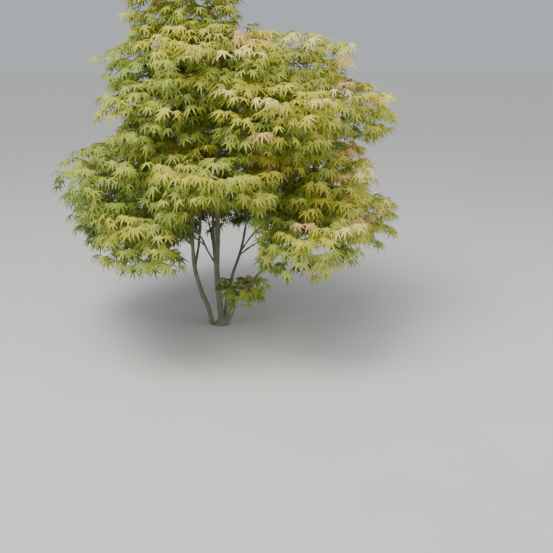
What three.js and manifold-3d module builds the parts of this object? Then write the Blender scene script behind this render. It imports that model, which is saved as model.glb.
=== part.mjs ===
// A multi-stemmed Japanese maple, rooted in the ground: slim stems rise from one flared foot, fork
// and arch outwards as boughs, and carry layered masses of twigs and lobed, drooping leaves.
// Millimetres, +Z up, +X to the right and +Y away from the front. The origin is the centre of the
// middle stem on the flat cut at ground level.

import * as THREE from "three";
import { mergeVertices } from "three/addons/utils/BufferGeometryUtils.js";
import Module from "manifold-3d";

const wasm = await Module();
wasm.setup();

// Driving dimensions of the limbs
const SEAT_GAP = 0.3; // between a limb and what carries it
const CUT_GAP = 0.4; // the same where the faces are slanted by facets
const BELOW_CUT = -10; // height that the stems and the flare start at, until they are cut at zero
const FLARE = {
  reach: 46, // of its foot to both sides
  depth: 0.84, // how deep its foot is, as a share of that
  height: 52,
  across: -3, // of the middle of its foot
  neck: 0.9, // its top, as a share of the stem in it
  ridges: 5,
  ridge: 0.09,
  fall: 2.8, // how fast it draws in
  sides: 16,
  steps: 5,
};
const TAPER = 0.85; // how a limb thins towards its tip: 1 is a straight cone, and more thins sooner
const TIP_RADIUS = 4; // of every limb, where its mass begins
const LIMB_FACET = 85; // length of one facet along a limb
const FEWEST_FACETS = 4;
const LIMB_SIDES = { stem: 8, bough: 6 };

// Each stem's way up as [height, across, back], the radius of its root and the mass at its tip.
const STEMS = {
  middle_stem: {
    way: [[BELOW_CUT, 0, 0], [150, -12, 0], [300, -22, 2], [500, -12, 0], [950, 2, 4], [1330, 48, 0]],
    radius: 18,
    carries: "top",
    bark: "pink",
  },
  left_stem: {
    way: [[BELOW_CUT, -52, -4], [100, -72, -12], [200, -108, -16], [330, -137, -18], [500, -142, -30]],
    radius: 14,
    carries: "shoulder_front_left",
    bark: "grey",
  },
  right_stem: {
    way: [[BELOW_CUT, 6, 20], [140, 31, 42], [260, 58, 62], [400, 106, 88], [550, 137, 112]],
    radius: 12,
    taper: 1.8,
    carries: "shoulder_back_right",
    bark: "grey",
  },
  slanting_stem: {
    way: [[BELOW_CUT, 15, -4], [120, 62, -16], [300, 205, -26]],
    radius: 10,
    taper: 2,
    carries: "skirt_right",
    bark: "grey",
  },
  low_shoot: {
    way: [[BELOW_CUT, 20, -20], [110, 70, -72]],
    radius: 8,
    carries: "low_spray",
    bark: "grey",
  },
};

// A fork leaves its stem at a height, and then goes its own way like a stem.
const FORKS = {
  left_fork: {
    from: "left_stem",
    leaves: 330,
    way: [[470, -112, 12], [800, -104, 62]],
    radius: 8,
    carries: "upper_left",
    bark: "grey",
  },
  middle_fork: {
    from: "middle_stem",
    leaves: 285,
    way: [[420, -36, 34], [640, -44, 84]],
    radius: 10,
    taper: 1.3,
    carries: "shoulder_back_left",
    bark: "pink",
  },
  thin_fork: {
    from: "middle_stem",
    leaves: 335,
    way: [[425, -64, -22], [520, -100, -52]],
    radius: 6.5,
    carries: "tier_front_left",
    bark: "pink",
  },
};

// A bough leaves the stem that gives it the shortest way to its mass, rises, and then flattens.
const BOUGH = {
  lowest: 320, // height that a bough leaves a stem at
  leastRise: 0.4, // for each unit that it reaches outwards
  steepest: 1.1, // rise beyond this makes a way longer
  arch: 1.6, // how soon it flattens: 1 is straight
  share: 0.72, // its root, as a share of the stem there
  slender: 0.011, // how much thicker its root is for each unit of its length
  leaving: 0.25, // share of its length that may lie near its own stem
  bark: "grey",
};
const BOUGH_SEARCH = { from: 0.1, to: 0.94, step: 0.02 };
const LIMB_CLEARANCE = 7; // between limbs that only pass each other

// Driving dimensions of the crown: its tiers of masses. A mass stands at its angle round the tier's
// centre, some `raised` a little, or lowered where that is negative. It reaches `size` from its own
// middle: outwards, sideways, and up or down.
const TIERS = {
  skirt: {
    height: 585,
    centre: [85, 0],
    reach: 530,
    size: [362, 330, 205],
    angles: { right: 5, back_right: 62, back_left: 118, left: 175, front_left: 232, front_right: 308 },
    raised: { right: 35, left: 25, front_left: 60, front_right: 50 },
    leaf: "deep",
  },
  tier: {
    height: 875,
    centre: [20, 0],
    reach: 495,
    size: [365, 320, 200],
    angles: { right: 30, back: 90, back_left: 150, front_left: 210, front: 270, front_right: 330 },
    leaf: "green",
  },
  shoulder: {
    height: 1170,
    centre: [145, 0],
    reach: 430,
    size: [350, 330, 200],
    angles: { right: 0, back_right: 72, back_left: 144, front_left: 216, front_right: 288 },
    leaf: "green",
  },
  upper: {
    height: 1390,
    centre: [50, 0],
    reach: 305,
    size: [340, 330, 200],
    angles: { right: 0, back: 90, left: 180, front: 270 },
    raised: { right: -25, left: -15 },
    leaf: "gold",
  },
};
const ENTRY = [0.4, 0.35]; // how far inside and below its middle a mass is entered, in sizes
const SINGLE_MASSES = {
  top: { middle: [-150, 0, 1680], angle: 180, size: [315, 305, 280], entry: [0.4, 0.6], leaf: "gold" },
  low_spray: { middle: [115, -200, 285], angle: 300, size: [170, 150, 110], entry: ENTRY, leaf: "deep" },
};
const FULLNESS = 2.8; // of a mass: 2 is an ellipsoid, and more is a rounded box
const TIER_WEIGHT = 1.6; // how much more height counts than distance in sharing out the crown
const SPACE_MARGIN = 3; // between a mass and the border of its space
const WINDOW = { across: [-105, 190], height: [335, 615], rise: 0.27 }; // higher towards the front
const FIRST_SEED = 3; // of the chance that shapes each mass, and one more for each mass

// Driving dimensions of the foliage. A solid leaf is larger than life and stands for several. Three
// of them meet over the end of each twig, as one drooping spray. Angles are in degrees.
const LEAF = {
  length: 204,
  fullFrom: 300, // masses that reach less far than this have smaller leaves
  lobe: [0.58, 0.38], // ahead and aside, as shares of the length
  notch: [0.52, 0.21],
  droop: [20, 48],
  tries: 6, // to find its place, each `shorter` than the one before
  shorter: 0.06,
};
const SPRAY = {
  thick: 9,
  cleft: 0.14, // between two leaves, as a share of their length
  pair: 97, // between the middle leaf and the leaf on either side
  turn: 4,
  outermost: [12, 22], // droop of the leaf at a mass's tip
  fewest: 2, // leaves
};
const TWIG = {
  radius: 3.3,
  neck: [9, 3.2], // behind the leaves, and to both sides
  steepest: 0.8,
  nearRoot: 0.35, // how much it prefers to start near the mass's own root
  forkAt: 0.6, // of its length, where later twigs may start
};
const MASS_STEM = {
  radius: 5.8,
  sides: 3,
  steps: 3,
  straight: 0.15, // in line with its limb, in sizes
  raised: 0.05, // over the middle of the mass, in sizes
  reach: 0.45, // beyond the middle, in sizes
  thinned: 0.9, // beyond the middle, as a share of its radius
  forksInside: [0.35, 0.65, 0.95],
  forksOutside: [0.15, 0.4, 0.65],
};
const FULL_MASS = 20; // leaves
const SPRAYS_TRIED = 90;
const SPRAY_ZONE = { across: 0.68, low: -0.4, high: 0.88 }; // where twigs end, in sizes
const SPRAY_PLACES = 20; // weighed for each spray
const OUTWARD_TURN = 0.5; // how much a spray turns away from the middle of its mass
const LIMB_ROOM = 11; // between foliage and the limbs that it passes
const LEAF_ROOM = 19; // between a leaf and the rest of its mass, away from its own root
const ROOT_SHARE = 0.2; // of a leaf's length, that counts as its root
const TEST_STEP = 17; // spacing of the points that foliage is tested at

const BARK = { roughness: 0.8, grey: 0x6a6a55, pink: 0x705f52 };
const LEAVES = { roughness: 0.65, deep: 0x6f8432, green: 0x8f9a3c, gold: 0xb9b356 };

const UP = new THREE.Vector3(0, 0, 1);
const { degToRad, lerp } = THREE.MathUtils;
const vec = (x, y, z) => new THREE.Vector3(x, y, z);
const along = (start, direction, distance) => start.clone().addScaledVector(direction, distance);

// Seeded chance, the same on every run
function chanceFrom(seed) {
  let state = 1 + seed * 7919;
  const next = () => {
    state = (state * 48271) % 2147483647;
    return state / 2147483647;
  };
  next();
  next();
  return (low, high) => low + (high - low) * next();
}

// A solid from its points' numbers and the three corners of each face
function solidOf(numbers, corners) {
  const vertProperties = Float32Array.from(numbers);
  const triVerts = Uint32Array.from(corners);
  return new wasm.Manifold(new wasm.Mesh({ numProp: 3, vertProperties, triVerts }));
}

// A closed geometry as a solid, without the triangles that close up at a pole
function solidFrom(geometry) {
  geometry.deleteAttribute("normal");
  geometry.deleteAttribute("uv");
  const merged = mergeVertices(geometry, 1e-3);
  const corners = merged.index.array;
  const kept = [];
  for (let i = 0; i < corners.length; i += 3) {
    const [a, b, c] = corners.slice(i, i + 3);
    if (a !== b && b !== c && c !== a) kept.push(a, b, c);
  }
  return solidOf(merged.attributes.position.array, kept);
}

function geometryFrom(solid) {
  const { vertProperties, triVerts } = solid.getMesh();
  const geometry = new THREE.BufferGeometry();
  geometry.setAttribute("position", new THREE.BufferAttribute(vertProperties, 3));
  geometry.setIndex(new THREE.BufferAttribute(triVerts, 1));
  geometry.computeVertexNormals();
  return geometry;
}

const joined = (solids) => solids.reduce((whole, solid) => whole.add(solid));

// The largest body of a solid: loose scraps and sealed hollows are left behind
function oneBody(solid) {
  return solid.decompose().reduce((best, body) => (body.volume() > best.volume() ? body : best));
}

// A limb is a smooth way through its points that thins from its root to its tip.
function limbAlong(name, points, rootRadius, sides, taper = TAPER) {
  const curve = new THREE.CatmullRomCurve3(points);
  const steps = Math.max(FEWEST_FACETS, Math.round(curve.getLength() / LIMB_FACET));
  const radiusAt = (share) => TIP_RADIUS + (rootRadius - TIP_RADIUS) * (1 - share) ** taper;
  const samples = curve.getSpacedPoints(steps * 2).map((point, i) => {
    return { point, radius: radiusAt(i / (steps * 2)) };
  });
  return { name, curve, steps, sides, radiusAt, samples };
}

// A limb's solid is a cylinder bent along its way, `grown` all round where it cuts a neighbour.
function limbSolid(limb, grown = 0) {
  const geometry = new THREE.CylinderGeometry(1, 1, 1, limb.sides, limb.steps);
  const { normals, binormals } = limb.curve.computeFrenetFrames(limb.steps);
  const position = geometry.attributes.position;
  for (let i = 0; i < position.count; i += 1) {
    const share = position.getY(i) + 0.5;
    const ring = Math.round(share * limb.steps);
    const radius = limb.radiusAt(share) + grown;
    const point = limb.curve.getPointAt(share);
    point.addScaledVector(binormals[ring], position.getX(i) * radius);
    point.addScaledVector(normals[ring], position.getZ(i) * radius);
    position.setXYZ(i, ...point.toArray());
  }
  return solidFrom(geometry);
}

// The root flare spreads from the middle stem to the ground, with soft ridges towards the roots.
function flareSolid(stemRadius, grown = 0) {
  const inner = stemRadius * FLARE.neck;
  const profile = [new THREE.Vector2(0, BELOW_CUT), new THREE.Vector2(FLARE.reach + grown, BELOW_CUT)];
  for (let i = 0; i <= FLARE.steps; i += 1) {
    const share = i / FLARE.steps;
    const spread = inner + (FLARE.reach - inner) * Math.exp(-FLARE.fall * share);
    profile.push(new THREE.Vector2(spread + grown, share * FLARE.height + grown));
  }
  profile.push(new THREE.Vector2(0, FLARE.height + grown));
  const geometry = new THREE.LatheGeometry(profile, FLARE.sides);
  geometry.rotateX(Math.PI / 2);
  const position = geometry.attributes.position;
  for (let i = 0; i < position.count; i += 1) {
    const [x, y, z] = [position.getX(i), position.getY(i), position.getZ(i)];
    const low = 1 - z / FLARE.height;
    const ridge = 1 + FLARE.ridge * low * Math.cos(FLARE.ridges * Math.atan2(y, x));
    position.setXYZ(i, x * ridge + FLARE.across * low, y * ridge * (1 - (1 - FLARE.depth) * low), z);
  }
  return solidFrom(geometry);
}

// How far a point is from a limb's bark
function clearOf(limb, point) {
  let least = Infinity;
  const closest = vec();
  for (let i = 1; i < limb.samples.length; i += 1) {
    const [from, to] = [limb.samples[i - 1], limb.samples[i]];
    const line = new THREE.Line3(from.point, to.point);
    const share = line.closestPointToPointParameter(point, true);
    const distance = line.at(share, closest).distanceTo(point);
    least = Math.min(least, distance - lerp(from.radius, to.radius, share));
  }
  return least;
}

// The masses of the crown, each with its middle, its directions, its size and the way into it
function massesOfCrown() {
  const masses = [];
  const add = (name, middle, degrees, { size, leaf, entry = ENTRY }) => {
    const angle = degToRad(degrees);
    const out = vec(Math.cos(angle), Math.sin(angle), 0);
    const side = vec(-out.y, out.x, 0);
    const way = along(along(middle, out, -entry[0] * size[0]), UP, -entry[1] * size[2]);
    const seed = masses.length + FIRST_SEED;
    masses.push({ name, middle, out, side, size, leaf, entry: way, seed });
  };
  for (const [tierName, tier] of Object.entries(TIERS)) {
    for (const [place, degrees] of Object.entries(tier.angles)) {
      const across = tier.centre[0] + tier.reach * Math.cos(degToRad(degrees));
      const back = tier.centre[1] + tier.reach * Math.sin(degToRad(degrees));
      const height = tier.height + (tier.raised?.[place] ?? 0);
      add(`${tierName}_${place}`, vec(across, back, height), degrees, tier);
    }
  }
  for (const [name, mass] of Object.entries(SINGLE_MASSES)) {
    add(name, vec(...mass.middle), mass.angle, mass);
  }
  return masses;
}

const masses = massesOfCrown();
const massNamed = (name) => masses.find((mass) => mass.name === name);

// Under the crown a window stays open in front of the stems.
function inWindow(point) {
  const height = point.z + WINDOW.rise * point.y;
  const beside = point.x < WINDOW.across[0] || point.x > WINDOW.across[1];
  return point.y < 0 && !beside && height > WINDOW.height[0] && height < WINDOW.height[1];
}

// A mass keeps to its own rounded size, and to the side nearer its middle than any other's.
function inSpace(mass, point) {
  const offset = point.clone().sub(mass.middle);
  const parts = [offset.dot(mass.out), offset.dot(mass.side), offset.z];
  const fullness = parts.reduce((sum, part, i) => sum + Math.abs(part / mass.size[i]) ** FULLNESS, 0);
  if (fullness > 1 || inWindow(point)) return false;
  const weighed = (from) => {
    return vec(point.x - from.x, point.y - from.y, (point.z - from.z) * TIER_WEIGHT);
  };
  const own = weighed(mass.middle).lengthSq();
  return masses.every((other) => {
    if (other === mass) return true;
    const apart = weighed(other.middle).sub(weighed(mass.middle)).length();
    return (weighed(other.middle).lengthSq() - own) / (2 * apart) >= SPACE_MARGIN;
  });
}

// The stems and forks
function growStems() {
  const limbs = {};
  const grow = (name, start, { way, radius, taper, carries, bark }) => {
    const points = way.map(([height, across, back]) => vec(across, back, height));
    const mass = massNamed(carries);
    const through = [...start, ...points, mass.entry];
    limbs[name] = limbAlong(name, through, radius, LIMB_SIDES.stem, taper);
    limbs[name].bark = bark;
    mass.limb = limbs[name];
  };
  for (const [name, stem] of Object.entries(STEMS)) grow(name, [], stem);
  for (const [name, fork] of Object.entries(FORKS)) {
    const parent = limbs[fork.from];
    grow(name, [pointAtHeight(parent, fork.leaves)], fork);
    limbs[name].parent = parent;
  }
  return Object.values(limbs);
}

function pointAtHeight(limb, height) {
  let [low, high] = [0, 1];
  while (high - low > 1e-6) {
    const middle = (low + high) / 2;
    if (limb.curve.getPointAt(middle).z < height) low = middle;
    else high = middle;
  }
  return limb.curve.getPointAt(low);
}

// The bough to a mass: of all places on the stems, the one with the shortest clear way
function growBough(mass, stems, limbs) {
  let best = null;
  for (const parent of stems) {
    for (let share = BOUGH_SEARCH.from; share <= BOUGH_SEARCH.to; share += BOUGH_SEARCH.step) {
      const start = parent.curve.getPointAt(share);
      const rise = mass.entry.z - start.z;
      const run = Math.hypot(mass.entry.x - start.x, mass.entry.y - start.y);
      if (start.z < BOUGH.lowest || rise < BOUGH.leastRise * run) continue;
      const cost = Math.hypot(run, rise) + Math.max(0, rise - BOUGH.steepest * run);
      if (best && cost >= best.cost) continue;
      const points = [0, 1 / 3, 2 / 3, 1].map((part) => {
        const point = start.clone().lerp(mass.entry, part);
        point.z = start.z + rise * (1 - (1 - part) ** BOUGH.arch);
        return point;
      });
      const slender = TIP_RADIUS + BOUGH.slender * Math.hypot(run, rise);
      const radius = Math.min(BOUGH.share * parent.radiusAt(share), slender);
      if (radius <= TIP_RADIUS) continue;
      const limb = limbAlong(`${mass.name}_bough`, points, radius, LIMB_SIDES.bough);
      const leaving = limb.samples.length * BOUGH.leaving;
      const passes = limbs.every((other) => limb.samples.every(({ point, radius: thick }, i) => {
        if (other === parent && i < leaving) return true;
        return clearOf(other, point) - thick >= LIMB_CLEARANCE;
      }));
      if (passes) best = { limb: { ...limb, parent, bark: BOUGH.bark }, cost };
    }
  }
  if (!best) throw new Error(`no clear way to ${mass.name}`);
  return best.limb;
}

const stems = growStems();
const limbs = [...stems];
for (const mass of masses) {
  if (mass.limb) continue;
  mass.limb = growBough(mass, stems, limbs);
  limbs.push(mass.limb);
}

// A leaf's outline from its right lobe to its left, with a notch on both sides of the middle lobe
function leafOutline(root, { angle, droop, length }) {
  const heading = vec(Math.cos(angle), Math.sin(angle), 0);
  const ahead = along(heading.clone().multiplyScalar(Math.cos(droop)), UP, -Math.sin(droop));
  const side = vec(-heading.y, heading.x, 0);
  const at = ([forward, sideways], hand) => {
    return along(along(root, ahead, forward * length), side, hand * sideways * length);
  };
  return [at(LEAF.lobe, -1), at(LEAF.notch, -1), at([1, 0], 0), at(LEAF.notch, 1), at(LEAF.lobe, 1)];
}

// A spray and its three-sided twig are one closed skin. It is thickest where the leaves meet, and
// thins to an outline that runs round the leaves, into the cleft between each two, and back along
// both sides of the twig from a narrow neck. The twig's root lies inside what it grows from.
function spraySolid(from, end, leaves, rootRadius) {
  const twig = end.clone().sub(from).normalize();
  const side = vec(-twig.y, twig.x, 0).normalize();
  const over = side.clone().cross(twig).negate();
  const outline = leaves.flatMap((leaf, i) => {
    if (!i) return leafOutline(end, leaf);
    const angle = (leaf.angle + leaves[i - 1].angle) / 2;
    const cleft = along(end, vec(Math.cos(angle), Math.sin(angle), 0), SPRAY.cleft * leaf.length);
    return [cleft, ...leafOutline(end, leaf)];
  });
  const [neckBack, neckSide] = TWIG.neck;
  const neck = along(end, twig, -neckBack);
  const rootCorner = (turn) => {
    return along(along(from, over, rootRadius * Math.cos(turn)), side, rootRadius * Math.sin(turn));
  };
  const [top, bottom, rootTop] = [0, 1, 2];
  const corners = [
    along(end, UP, SPRAY.thick / 2),
    along(end, UP, -SPRAY.thick / 2),
    rootCorner(0),
    ...outline,
    along(neck, side, neckSide),
    rootCorner((2 * Math.PI) / 3),
    rootCorner((-2 * Math.PI) / 3),
    along(neck, side, -neckSide),
  ];
  const first = rootTop + 1;
  const count = corners.length - first;
  const rootLeft = corners.length - 3;
  const faces = [rootTop, rootLeft, rootLeft + 1];
  for (let i = 0; i < count; i += 1) {
    const [here, next] = [first + i, first + ((i + 1) % count)];
    faces.push(bottom, next, here);
    if (here === rootLeft) faces.push(top, here, rootTop, top, rootTop, next);
    else faces.push(top, here, next);
  }
  return solidOf(corners.flatMap((corner) => corner.toArray()), faces);
}

// Points spread over a triangle or a line, for testing what lies near it
function pointsOn(corners) {
  const [root, right, left] = [corners[0], corners[1], corners[corners.length - 1]];
  const steps = Math.max(2, Math.ceil(root.distanceTo(left) / TEST_STEP));
  const points = [];
  for (let i = 0; i <= steps; i += 1) {
    const from = root.clone().lerp(right, i / steps);
    const to = root.clone().lerp(left, i / steps);
    const across = corners.length > 2 ? i : 0;
    for (let j = 0; j <= across; j += 1) points.push(from.clone().lerp(to, across ? j / across : 1));
  }
  return points;
}

// The twigs and leaves of one mass, fused into one body
function growMass(mass) {
  const chance = chanceFrom(mass.seed);
  const length = LEAF.length * Math.min(1, mass.size[0] / LEAF.fullFrom);
  const nearby = limbs.filter((limb) => clearOf(limb, mass.middle) < mass.size[0] + LEAF.length);
  const clear = (points, exempt) => points.every((point) => {
    return nearby.every((limb) => limb === exempt || clearOf(limb, point) >= LIMB_ROOM);
  });
  const solids = [];
  const taken = []; // points of the twigs and leaves so far
  const free = (points, root) => points.every((point) => {
    if (point.distanceTo(root) < length * ROOT_SHARE) return true;
    return taken.every((other) => other.distanceTo(point) >= LEAF_ROOM);
  });

  // The stem of the mass goes straight on from its limb to the middle, and then out to its tip.
  const tangent = mass.limb.curve.getTangentAt(1);
  const start = along(mass.entry, tangent, SEAT_GAP);
  const straight = along(start, tangent, mass.size[2] * MASS_STEM.straight);
  const middle = along(mass.middle, UP, mass.size[2] * MASS_STEM.raised);
  const outer = along(middle, mass.out, mass.size[0] * MASS_STEM.reach);
  const inside = limbAlong(mass.name, [start, straight, middle], MASS_STEM.radius, MASS_STEM.sides);
  const even = { steps: MASS_STEM.steps, radiusAt: () => MASS_STEM.radius };
  solids.push(limbSolid({ ...inside, ...even }));
  const wayIn = pointsOn([start, middle]);
  const wayOut = pointsOn([middle, outer]);
  if (!clear(wayIn, mass.limb) || !clear(wayOut)) throw new Error(`${mass.name} meets a limb`);
  taken.push(...wayIn, ...wayOut);
  const runIn = start.distanceTo(middle);
  const skeleton = [
    ...MASS_STEM.forksInside.map((part) => {
      return { point: inside.curve.getPointAt(part), run: part * runIn };
    }),
    ...MASS_STEM.forksOutside.map((part) => {
      return { point: middle.clone().lerp(outer, part), run: runIn + part * middle.distanceTo(outer) };
    }),
  ];

  // A leaf is drawn again, a little shorter, until it stays in the space and touches nothing.
  const placedLeaf = (root, angle, droopRange) => {
    for (let attempt = 0; attempt < LEAF.tries; attempt += 1) {
      const droop = degToRad(chance(...droopRange));
      const leaf = { angle, droop, length: length * (1 - LEAF.shorter * attempt) };
      const [right, , tip, , left] = leafOutline(root, leaf);
      if (![left, tip, right].every((corner) => inSpace(mass, corner))) continue;
      const points = [...pointsOn([root, left, tip]), ...pointsOn([root, tip, right])];
      if (clear(points) && free(points, root)) return { ...leaf, points };
    }
    return null;
  };
  let leafCount = 0;
  const addSpray = (from, end, angle, endDroop, rootRadius) => {
    const pair = degToRad(SPRAY.pair);
    const turn = () => degToRad(chance(-SPRAY.turn, SPRAY.turn));
    const leaves = [
      placedLeaf(end, angle - pair + turn(), LEAF.droop),
      placedLeaf(end, angle + turn(), endDroop),
      placedLeaf(end, angle + pair + turn(), LEAF.droop),
    ].filter(Boolean);
    if (leaves.length < SPRAY.fewest) return false;
    solids.push(spraySolid(from, end, leaves, rootRadius));
    for (const { points } of leaves) taken.push(...points);
    leafCount += leaves.length;
    return true;
  };

  const outward = Math.atan2(mass.out.y, mass.out.x);
  const outerRoot = along(middle, mass.out, -MASS_STEM.radius);
  addSpray(outerRoot, outer, outward, SPRAY.outermost, MASS_STEM.radius * MASS_STEM.thinned);

  // A spray ends where there is most room, and its twig starts from the nearest twig before it.
  const ends = [outer];
  const roomiestPlace = () => {
    let [place, widest] = [null, 0];
    for (let attempt = 0; attempt < SPRAY_PLACES; attempt += 1) {
      const [forward, sideways] = [chance(-1, 1), chance(-1, 1)];
      const height = chance(SPRAY_ZONE.low, SPRAY_ZONE.high);
      if (Math.hypot(forward, sideways) > 1) continue;
      const point = along(mass.middle, mass.out, forward * mass.size[0] * SPRAY_ZONE.across);
      point.addScaledVector(mass.side, sideways * mass.size[1] * SPRAY_ZONE.across);
      point.addScaledVector(UP, height * mass.size[2]);
      const room = Math.min(...ends.map((other) => other.distanceTo(point)));
      if (room > widest && inSpace(mass, point)) [place, widest] = [point, room];
    }
    return place;
  };
  for (let number = 0; number < SPRAYS_TRIED && leafCount < FULL_MASS; number += 1) {
    const end = roomiestPlace();
    if (!end) continue;
    const cost = (node) => {
      const reach = node.point.distanceTo(end);
      const steep = Math.abs(end.z - node.point.z) > TWIG.steepest * reach;
      return steep ? Infinity : reach + TWIG.nearRoot * node.run;
    };
    const node = skeleton.reduce((best, other) => (cost(other) < cost(best) ? other : best));
    if (cost(node) === Infinity) continue;
    const way = pointsOn([node.point, end]);
    if (!clear(way) || !free(way, node.point)) continue;
    const level = (from) => end.clone().sub(from).setZ(0).normalize();
    const facing = along(level(node.point), level(mass.middle), OUTWARD_TURN);
    if (!addSpray(node.point, end, Math.atan2(facing.y, facing.x), LEAF.droop, TWIG.radius)) continue;
    ends.push(end);
    taken.push(...way);
    skeleton.push({
      point: node.point.clone().lerp(end, TWIG.forkAt),
      run: node.run + TWIG.forkAt * node.point.distanceTo(end),
    });
  }
  return oneBody(joined(solids));
}

const model = new THREE.Group();

function addPiece(name, solid, color, roughness) {
  const material = new THREE.MeshStandardMaterial({ color, roughness, metalness: 0 });
  const mesh = new THREE.Mesh(geometryFrom(solid), material);
  mesh.name = name;
  model.add(mesh);
}

// Stems and forks, cut flat at the ground, and clear of the flared middle stem and of those before
const cutAtGround = (solid) => solid.trimByPlane(UP.toArray(), 0);
const [middleStem, ...otherStems] = stems;
const trunk = (grown) => limbSolid(middleStem, grown).add(flareSolid(middleStem.radiusAt(0), grown));
addPiece(middleStem.name, oneBody(cutAtGround(trunk(0))), BARK[middleStem.bark], BARK.roughness);
const cutters = [trunk(CUT_GAP)];
for (const stem of otherStems) {
  const solid = cutters.reduce((rest, cutter) => rest.subtract(cutter), limbSolid(stem));
  addPiece(stem.name, oneBody(cutAtGround(solid)), BARK[stem.bark], BARK.roughness);
  cutters.push(limbSolid(stem, CUT_GAP));
}

// Boughs, each cut clear of the stem that it leaves
for (const bough of limbs.slice(stems.length)) {
  const solid = limbSolid(bough).subtract(limbSolid(bough.parent, CUT_GAP));
  addPiece(bough.name, oneBody(solid), BARK[bough.bark], BARK.roughness);
}

// Masses of leaves
for (const mass of masses) {
  addPiece(`${mass.name}_leaves`, growMass(mass), LEAVES[mass.leaf], LEAVES.roughness);
}

export default model;
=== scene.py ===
# A multi-stemmed Japanese maple, rooted in the ground. Metres, +Z up, +X to the right, +Y away from
# the front, with the origin at the middle stem on the ground. Sizes in the sections below are in
# millimetres until they are built.

import math

import bpy
import numpy as np
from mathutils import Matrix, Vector, noise


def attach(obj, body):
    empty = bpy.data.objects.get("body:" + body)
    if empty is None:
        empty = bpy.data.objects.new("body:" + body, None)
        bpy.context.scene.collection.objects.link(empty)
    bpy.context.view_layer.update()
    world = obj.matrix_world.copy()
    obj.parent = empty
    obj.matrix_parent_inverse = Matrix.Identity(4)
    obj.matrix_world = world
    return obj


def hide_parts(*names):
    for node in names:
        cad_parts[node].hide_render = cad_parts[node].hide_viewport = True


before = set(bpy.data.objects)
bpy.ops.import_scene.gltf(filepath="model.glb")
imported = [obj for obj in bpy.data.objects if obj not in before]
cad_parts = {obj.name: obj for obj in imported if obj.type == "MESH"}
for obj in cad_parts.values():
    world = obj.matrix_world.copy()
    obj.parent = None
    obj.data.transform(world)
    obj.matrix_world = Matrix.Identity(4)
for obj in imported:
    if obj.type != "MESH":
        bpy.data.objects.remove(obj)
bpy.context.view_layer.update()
MM = 0.001

# The layers of the crown. Boughs carry the foliage in rounded masses, which stand in tiers round the
# stems. Each mass has its own middle and size, and a place on the bough side where a limb enters.
TIERS = {
    "skirt": {
        "height": 585,
        "centre": (85, 0),
        "reach": 530,
        "size": (362, 330, 205),
        "angles": {
            "right": 5,
            "back_right": 62,
            "back_left": 118,
            "left": 175,
            "front_left": 232,
            "front_right": 308,
        },
        "raised": {"right": 35, "left": 25, "front_left": 60, "front_right": 50},
    },
    "tier": {
        "height": 875,
        "centre": (20, 0),
        "reach": 495,
        "size": (365, 320, 200),
        "angles": {
            "right": 30,
            "back": 90,
            "back_left": 150,
            "front_left": 210,
            "front": 270,
            "front_right": 330,
        },
    },
    "shoulder": {
        "height": 1170,
        "centre": (145, 0),
        "reach": 430,
        "size": (350, 330, 200),
        "angles": {"right": 0, "back_right": 72, "back_left": 144, "front_left": 216, "front_right": 288},
    },
    "upper": {
        "height": 1390,
        "centre": (50, 0),
        "reach": 305,
        "size": (340, 330, 200),
        "angles": {"right": 0, "back": 90, "left": 180, "front": 270},
        "raised": {"right": -25, "left": -15},
    },
}
ENTRY = (0.4, 0.35)
SINGLE_MASSES = {
    "top": {"middle": (-150, 0, 1680), "angle": 180, "size": (315, 305, 280), "entry": (0.4, 0.6)},
    "low_spray": {"middle": (115, -200, 285), "angle": 300, "size": (170, 150, 110), "entry": ENTRY},
}
FULLNESS = 2.8  # of a mass: 2 is an ellipsoid, and more is a rounded box
WINDOW = {"across": (-105, 190), "height": (335, 615), "rise": 0.27}  # higher towards the front
UP = np.array([0.0, 0.0, 1.0])


def in_window(points):
    """Which points lie in the space under the crown that stays open in front of the stems."""
    across, back, up = np.atleast_2d(points).T
    height = up + WINDOW["rise"] * back
    inside = (across > WINDOW["across"][0]) & (across < WINDOW["across"][1])
    return inside & (back < 0) & (height > WINDOW["height"][0]) & (height < WINDOW["height"][1])


class Mass:
    """A rounded mass of foliage, which faces outwards and is entered by one limb."""

    def __init__(self, name, tier, middle, degrees, size, entry):
        angle = math.radians(degrees)
        self.name, self.tier = name, tier
        self.middle = np.array(middle, float)
        self.size = np.array(size, float)
        self.out = np.array([math.cos(angle), math.sin(angle), 0.0])
        self.side = np.array([-math.sin(angle), math.cos(angle), 0.0])
        self.entry = self.middle - self.out * entry[0] * size[0] - UP * entry[1] * size[2]
        self.limb = None

    def shares(self, points):
        """How far points lie from the middle, as shares of the size: out, aside and up."""
        offset = np.atleast_2d(points) - self.middle
        return np.stack([offset @ self.out, offset @ self.side, offset @ UP], axis=1) / self.size

    def holds(self, points, room=1.0):
        """Which points lie in the mass, or in this share of it, and not in the window."""
        fullness = (np.abs(self.shares(points)) ** FULLNESS).sum(axis=1)
        return (fullness <= room**FULLNESS) & ~in_window(points)


masses = []
for tier_name, tier in TIERS.items():
    for place, degrees in tier["angles"].items():
        turn = math.radians(degrees)
        middle = (
            tier["centre"][0] + tier["reach"] * math.cos(turn),
            tier["centre"][1] + tier["reach"] * math.sin(turn),
            tier["height"] + tier.get("raised", {}).get(place, 0),
        )
        masses.append(Mass(f"{tier_name}_{place}", tier_name, middle, degrees, tier["size"], ENTRY))
for mass_name, given in SINGLE_MASSES.items():
    shape = (given["middle"], given["angle"], given["size"], given["entry"])
    masses.append(Mass(mass_name, mass_name, *shape))
mass_named = {mass.name: mass for mass in masses}

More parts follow.
